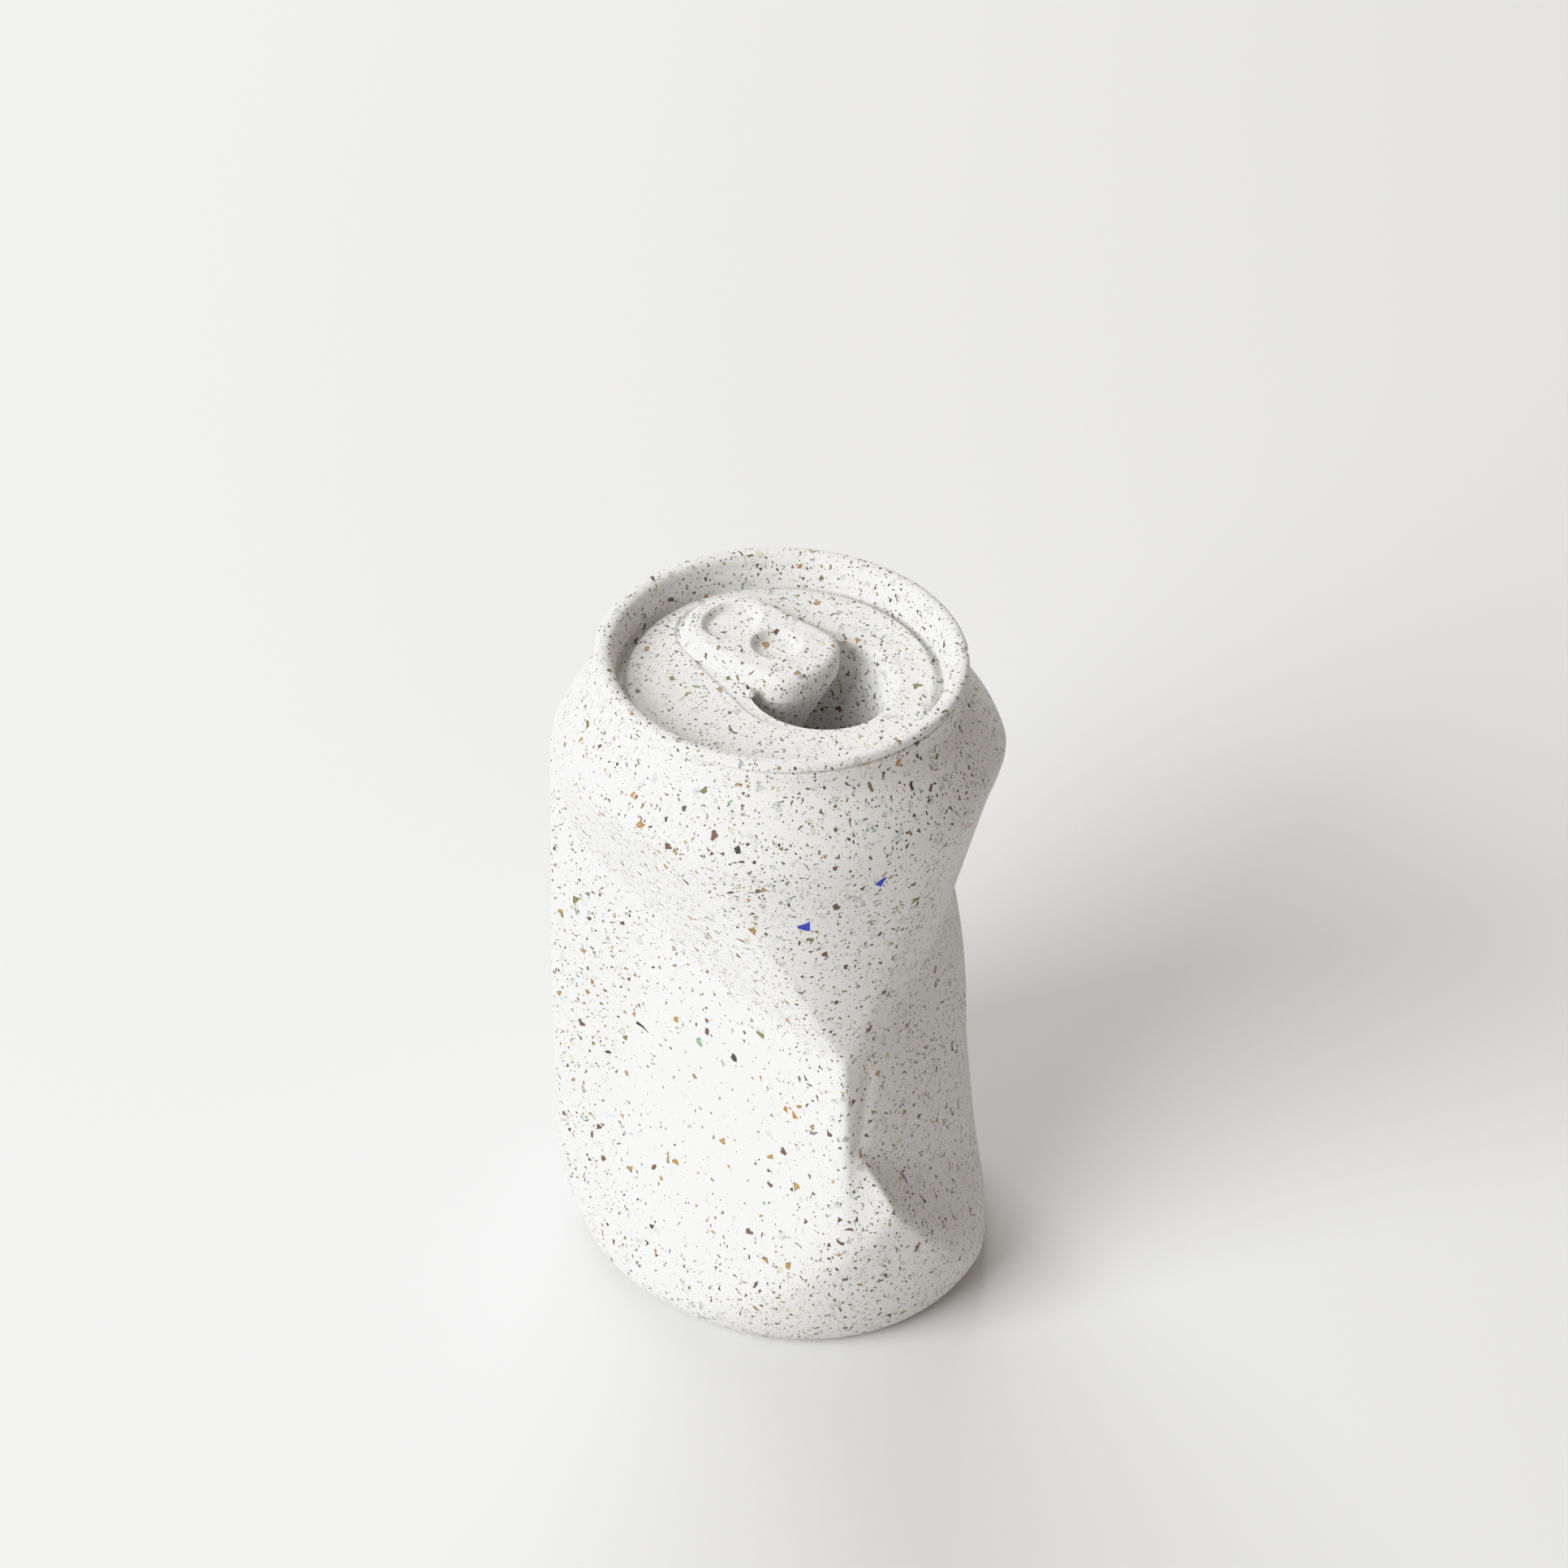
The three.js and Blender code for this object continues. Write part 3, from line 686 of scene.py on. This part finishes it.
def chip_group():
    """Scattered shards: one in each cell of the composite, turned, sized and kept at random"""
    group, given, result = new_group(
        "Chips", [("Place", "Vector"), ("Spacing", "Float"), ("Size", "Vector"), ("Bend", "Float"),
                  ("Share", "Float")],
        [("Mask", "Float"), ("Pick", "Float"), ("Edge", "Float")])
    cells = calculate(group, "DIVIDE", 1.0, given["Spacing"])
    place = vector_calculate(group, "SCALE", given["Place"], Scale=cells)
    cell = add(group, "TexVoronoi", Vector=place, Scale=1.0, Randomness=0.9)
    centre = cell.outputs["Position"]
    random = add(group, "TexWhiteNoise", Vector=centre)
    picks = add(group, "SeparateColor", Color=random.outputs["Color"]).outputs
    offset = vector_calculate(group, "SCALE", vector_calculate(group, "SUBTRACT", place, centre),
                              Scale=given["Spacing"])
    turn = vector_calculate(group, "SCALE", cell.outputs["Color"], Scale=2 * pi)
    growth = calculate(group, "ADD", calculate(group, "POWER", picks[0], FEW_LARGE), SMALLEST_CHIP)
    size = vector_calculate(group, "SCALE", given["Size"], Scale=growth)
    mask, edge = shard(group, offset, turn, size, given["Bend"], 0.1)
    kept = calculate(group, "LESS_THAN", picks[1], given["Share"])
    group.links.new(calculate(group, "MULTIPLY", mask, kept), result["Mask"])
    group.links.new(picks[2], result["Pick"])
    group.links.new(edge, result["Edge"])
    return group


def palette(tree, pick, colours):
    """One of the colours, by a random number from 0 to 1; each colour comes with its share"""
    ramp = add(tree, "ValToRGB", Fac=pick)
    ramp.color_ramp.interpolation = "CONSTANT"
    elements = ramp.color_ramp.elements
    while len(elements) < len(colours):
        elements.new(0.5)
    start = 0.0
    for element, (colour, share) in zip(list(elements), colours):
        element.position = start
        element.color = (*colour, 1)
        start += share
    return ramp.outputs["Color"]


def blend(tree, factor, below, above):
    return add(tree, "Mix", {"data_type": "RGBA"}, i0=factor, i6=below, i7=above).outputs[2]


def chip_kinds(finish):
    """Kinds of scattered chips: spacing of the cells, half lengths of a chip, its bend, share of
    the cells that hold one, how much of that share is left in the bare patch, how strongly it
    shows, and its colours with their shares"""
    body = tuple(finish.body)
    clear = tuple(0.45 * a + 0.55 * b for a, b in zip(body, finish.glass))
    glass, dark, brown = tuple(finish.glass), tuple(finish.dark), tuple(finish.brown)
    amber, olive = tuple(finish.amber), tuple(finish.olive)
    green, straw = tuple(finish.green), tuple(finish.straw)
    grey = tuple(0.4 * value for value in glass)
    return (
        (1.6, (0.5, 0.36, 0.3), 0.3, 0.65, 0.2, 0.5,
         ((clear, 0.65), (glass, 0.27), (straw, 0.08))),
        (0.42, (0.10, 0.055, 0.05), 0.3, 0.8, 0.2, 0.6,
         ((glass, 0.2), (grey, 0.35), (brown, 0.25), (olive, 0.12), (amber, 0.08))),
        (0.8, (0.33, 0.083, 0.09), 1.4, 0.88, 0.15, 1.0,
         ((grey, 0.3), (dark, 0.22), (brown, 0.36), (olive, 0.12))),
        (1.65, (0.52, 0.13, 0.15), 1.0, 0.8, 0.35, 0.97,
         ((dark, 0.4), (brown, 0.36), (olive, 0.12), (amber, 0.06), (green, 0.06))),
        (1.15, (0.25, 0.15, 0.12), 0.5, 0.62, 0.3, 0.92,
         ((glass, 0.16), (grey, 0.2), (brown, 0.32), (olive, 0.1), (amber, 0.12), (dark, 0.1))),
        (2.3, (0.47, 0.31, 0.26), 0.5, 0.52, 0.8, 0.97,
         ((amber, 0.36), (brown, 0.3), (olive, 0.11), (glass, 0.07), (straw, 0.05), (green, 0.06),
          (dark, 0.05))),
    )


# chips with a place of their own: centre, the way they point, half lengths along, across and
# inwards
PLACED_CHIPS = (
    ("blue", (2.8, -31.3, 85.0), (-1, 0, 0), (0.9, 0.66, 1.0)),
    ("blue", (13.8, -30.3, 92.6), (0.7, 0.25, 0.9), (0.9, 0.46, 0.8)),
    ("dark", (-21.8, -6.3, 44.0), (0.65, -0.74, -0.17), (1.4, 0.2, 0.5)),
    ("amber", (0.2, -23.2, 42.4), (0.3, 0, 1), (0.5, 0.34, 0.45)),
    ("amber", (1.5, -24.2, 42.1), (-0.4, 0, 1), (0.62, 0.3, 0.4)),
    ("amber", (0.5, -24.2, 40.6), (1, -0.6, 0.2), (0.5, 0.3, 0.4)),
    ("amber", (-4.2, -20.6, 46.6), (0.6, -0.4, 1), (0.6, 0.35, 0.4)),
)
# where fewer chips show: centre of the bare patch, and how far out it is bare and where it ends
BARE_PATCH = (-17, -24, 36)
BARE_REACH = (13, 33)
# where the bent-in flap is broken and rough: centre and reach, and the depths below the top of the
# ring pull where the roughness starts and is full
ROUGH_PATCH = (4.5, 3.0, -6.5)
ROUGH_REACH = 8.5
ROUGH_FROM = 0.5
ROUGH_FULL = 1.9
BROKEN_RELIEF = 15.0  # height of the broken surface's relief, against the fine grain's
LAYER_SHIFT = (37.0, 11.0, 5.0)  # from one kind's cells to the next kind's
# a chip's brightness in its middle, how much of it is lost towards its edge, and its mottling
CHIP_MIDDLE = 1.28
CHIP_EDGE_LOSS = 0.55
CHIP_MOTTLE = 1.2
BODY_ROUGHNESS = 0.85
CHIP_POLISH = 0.35  # how much smoother the chips are


def with_scattered_chips(tree, place, grain, finish, colour):
    """The colour with every kind of scattered chip on it, and how far a chip shows"""
    group = chip_group()
    away = distance(tree, place, BARE_PATCH)
    chipped = 0.0
    for layer, kind in enumerate(chip_kinds(finish)):
        spacing, size, bend, share, left, strength, colours = kind
        apart = vector_calculate(tree, "ADD", place, tuple(layer * step for step in LAYER_SHIFT))
        kept = add(tree, "MapRange", {"interpolation_type": "SMOOTHSTEP"}, Value=away,
                   From_Min=BARE_REACH[0], From_Max=BARE_REACH[1], To_Min=share * left,
                   To_Max=share).outputs[0]
        chips = add(tree, "Group", {"node_tree": group}, Place=apart, Spacing=spacing, Size=size,
                    Bend=bend, Share=kept)
        shown = calculate(tree, "MULTIPLY", chips.outputs["Mask"], strength)
        chip = palette(tree, chips.outputs["Pick"], colours)
        light = calculate(tree, "MULTIPLY_ADD", chips.outputs["Edge"], -CHIP_EDGE_LOSS, CHIP_MIDDLE)
        mottle = calculate(tree, "SUBTRACT", grain, 0.5)
        light = calculate(tree, "MULTIPLY_ADD", mottle, CHIP_MOTTLE, light)
        chip = add(tree, "HueSaturation", Color=chip, Value=light).outputs[0]
        colour = blend(tree, shown, colour, chip)
        chipped = calculate(tree, "MAXIMUM", chipped, shown)
    return colour, chipped


def with_placed_chips(tree, place, finish, colour):
    for name, centre, along, size in PLACED_CHIPS:
        offset = vector_calculate(tree, "SUBTRACT", place, centre)
        along, outwards = Vector(along).normalized(), Vector((centre[0], centre[1], 0))
        outwards = (outwards - outwards.project(along)).normalized()
        turn = Matrix((along, outwards.cross(along), outwards)).to_euler()
        shown, _ = shard(tree, offset, turn, size, 0.2, 0.08)
        colour = blend(tree, shown, colour, (*getattr(finish, name), 1))
    return colour


def relief(tree, place, grain, lid):
    """Height of the fine grain, and of the broken surface of the bent-in flap"""
    across, back = tab_point(lid, ROUGH_PATCH[0], ROUGH_PATCH[1])
    middle = tuple(on_lid(lid, across, back, ROUGH_PATCH[2]))
    near = add(tree, "MapRange", {"interpolation_type": "SMOOTHSTEP"},
               Value=distance(tree, place, middle), From_Min=ROUGH_REACH,
               From_Max=0.5 * ROUGH_REACH).outputs[0]
    height = add(tree, "SeparateXYZ", Vector=place).outputs["Z"]
    top = (lid.crest + lid.tab_height) / MM - PANEL_DEPTH
    below = add(tree, "MapRange", Value=height, From_Min=top - ROUGH_FROM,
                From_Max=top - ROUGH_FULL).outputs[0]
    broken = add(tree, "TexNoise", Vector=place, Scale=2.2, Detail=5.0,
                 Roughness=0.75).outputs["Fac"]
    broken = calculate(tree, "MULTIPLY", broken, calculate(tree, "MULTIPLY", near, below))
    return calculate(tree, "MULTIPLY_ADD", broken, BROKEN_RELIEF, grain)


def composite(finish, lid):
    """Off-white mineral composite, cast full of small chips of stone and glass"""
    material = bpy.data.materials.new("speckled_composite")
    material.use_nodes = True
    tree = material.node_tree
    shader = tree.nodes["Principled BSDF"]
    place = vector_calculate(tree, "SCALE", add(tree, "TexCoord").outputs["Object"], Scale=1 / MM)
    clouds = add(tree, "TexNoise", Vector=place, Scale=0.35, Detail=3.0).outputs["Fac"]
    grain = add(tree, "TexNoise", Vector=place, Scale=3.5, Detail=4.0,
                Roughness=0.65).outputs["Fac"]
    colour = blend(tree, clouds, (*(value * 0.97 for value in finish.body), 1), (*finish.body, 1))
    colour, chipped = with_scattered_chips(tree, place, grain, finish, colour)
    colour = with_placed_chips(tree, place, finish, colour)
    tree.links.new(colour, shader.inputs["Base Color"])
    roughness = calculate(tree, "MULTIPLY_ADD", chipped, -CHIP_POLISH, BODY_ROUGHNESS)
    tree.links.new(roughness, shader.inputs["Roughness"])
    bump = add(tree, "Bump", Height=relief(tree, place, grain, lid), Strength=0.4,
               Distance=0.00012).outputs["Normal"]
    tree.links.new(bump, shader.inputs["Normal"])
    return material


class CANVASE_OT_cast(bpy.types.Operator):
    """Cast the crushed can with its lid, ring pull, mouth and hollow"""

    bl_idname = "canvase.cast"
    bl_label = "Cast the can"

    def execute(self, context):
        scene = context.scene
        sizes, lid = scene.canvase_can, scene.canvase_lid
        body = outer_form(sizes, lid)
        combine(body, hollow(sizes, lid), "DIFFERENCE")
        combine(body, teardrop(lid), "DIFFERENCE")
        combine(body, mouth(lid), "DIFFERENCE")
        combine(body, ring_pull(lid), "UNION")
        combine(body, nub(lid), "UNION")
        bpy.ops.object.shade_smooth_by_angle(angle=radians(40))
        body.data.materials.clear()
        body.data.materials.append(composite(scene.canvase_finish, lid))
        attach(body, "root")
        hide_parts(NODE)
        return {"FINISHED"}


TARGET = Vector((0, 0, 0.0567))
LIGHT_DISTANCE = 1.6
LENS = 83.66
SENSOR = 36.0
TARGET_DROP = radians(2.42)  # the target stands this far below the middle of the view
# name, azimuth from the front and elevation in degrees, width, height, and the setting of its power
LIGHTS = (("key_light", -53, 32, 1.1, 0.8, "key_power"),
          ("back_light", -165, 42, 1.0, 1.0, "back_power"),
          ("top_light", 0, 82, 1.2, 1.2, "top_power"))
# how bright a place is shown, by its brightness in the light: straight, with a soft shoulder
SHOULDER = ((0.3, 0.3), (0.6, 0.6), (0.8, 0.8), (0.95, 0.9), (1.2, 0.955))
BRIGHTEST, BRIGHTEST_SHOWN = 1.6, 0.975


def soften_highlights(view):
    view.view_transform = "Standard"
    view.use_curve_mapping = True
    mapping = view.curve_mapping
    mapping.white_level = (BRIGHTEST,) * 3
    points = mapping.curves[3].points
    points[-1].location = (1.0, BRIGHTEST_SHOWN)
    for light, shown in SHOULDER:
        points.new(light / BRIGHTEST, shown)
    mapping.update()


class CANVASE_OT_stage(bpy.types.Operator):
    """Set the floor, the lights and the camera"""

    bl_idname = "canvase.stage"
    bl_label = "Set the stage"

    def execute(self, context):
        scene = context.scene
        stage = scene.canvase_stage
        deselect_all()
        bpy.ops.mesh.primitive_plane_add(size=12)
        floor = context.object
        floor.name = "floor"
        paper = bpy.data.materials.new("pale_floor")
        paper.use_nodes = True
        shader = paper.node_tree.nodes["Principled BSDF"]
        shader.inputs["Base Color"].default_value = (*stage.floor_colour, 1)
        shader.inputs["Roughness"].default_value = 0.9
        floor.data.materials.append(paper)

        world = bpy.data.worlds.new("soft_room")
        world.use_nodes = True
        world.node_tree.nodes["Background"].inputs["Color"].default_value = (*stage.fill_colour, 1)
        world.node_tree.nodes["Background"].inputs["Strength"].default_value = stage.fill
        scene.world = world

        for name, azimuth, elevation, width, height, power in LIGHTS:
            turn, rise = radians(azimuth), radians(elevation)
            away = Vector((sin(turn) * cos(rise), -cos(turn) * cos(rise), sin(rise)))
            bpy.ops.object.light_add(type="AREA", location=TARGET + away * LIGHT_DISTANCE,
                                     rotation=away.to_track_quat("Z", "Y").to_euler())
            light = context.object
            light.name = name
            light.data.shape = "RECTANGLE"
            light.data.size, light.data.size_y = width, height
            light.data.energy = getattr(stage, power)
            light.data.color = stage.light_colour

        bpy.ops.object.camera_add()
        camera = context.object
        camera.name = "camera"
        elevation = stage.camera_elevation
        away = Vector((0, -cos(elevation), sin(elevation)))
        camera.location = TARGET + stage.camera_distance * away
        camera.rotation_euler = (pi / 2 - elevation + TARGET_DROP, 0, 0)
        camera.data.lens = LENS
        camera.data.sensor_width = SENSOR
        camera.data.clip_start = 0.01
        scene.camera = camera
        soften_highlights(scene.view_settings)
        return {"FINISHED"}


class CANVASE_PT_panel(bpy.types.Panel):
    """Lists the steps that make the can"""

    bl_label = "Crushed can"
    bl_idname = "CANVASE_PT_panel"
    bl_space_type = "VIEW_3D"
    bl_region_type = "UI"
    bl_category = "Crushed can"

    def draw(self, context):
        for operator in (CANVASE_OT_cast, CANVASE_OT_stage):
            self.layout.operator(operator.bl_idname)


GROUPS = {"canvase_can": CanSizes, "canvase_lid": LidSizes, "canvase_finish": Finish,
          "canvase_stage": StageSettings}
CLASSES = (*GROUPS.values(), CANVASE_OT_cast, CANVASE_OT_stage, CANVASE_PT_panel)


def register():
    for cls in CLASSES:
        bpy.utils.register_class(cls)
    for name, group in GROUPS.items():
        setattr(bpy.types.Scene, name, bpy.props.PointerProperty(type=group))


def unregister():
    for name in GROUPS:
        delattr(bpy.types.Scene, name)
    for cls in reversed(CLASSES):
        bpy.utils.unregister_class(cls)


def main():
    register()
    bpy.ops.canvase.cast()
    bpy.ops.canvase.stage()


if __name__ == "__main__":
    main()
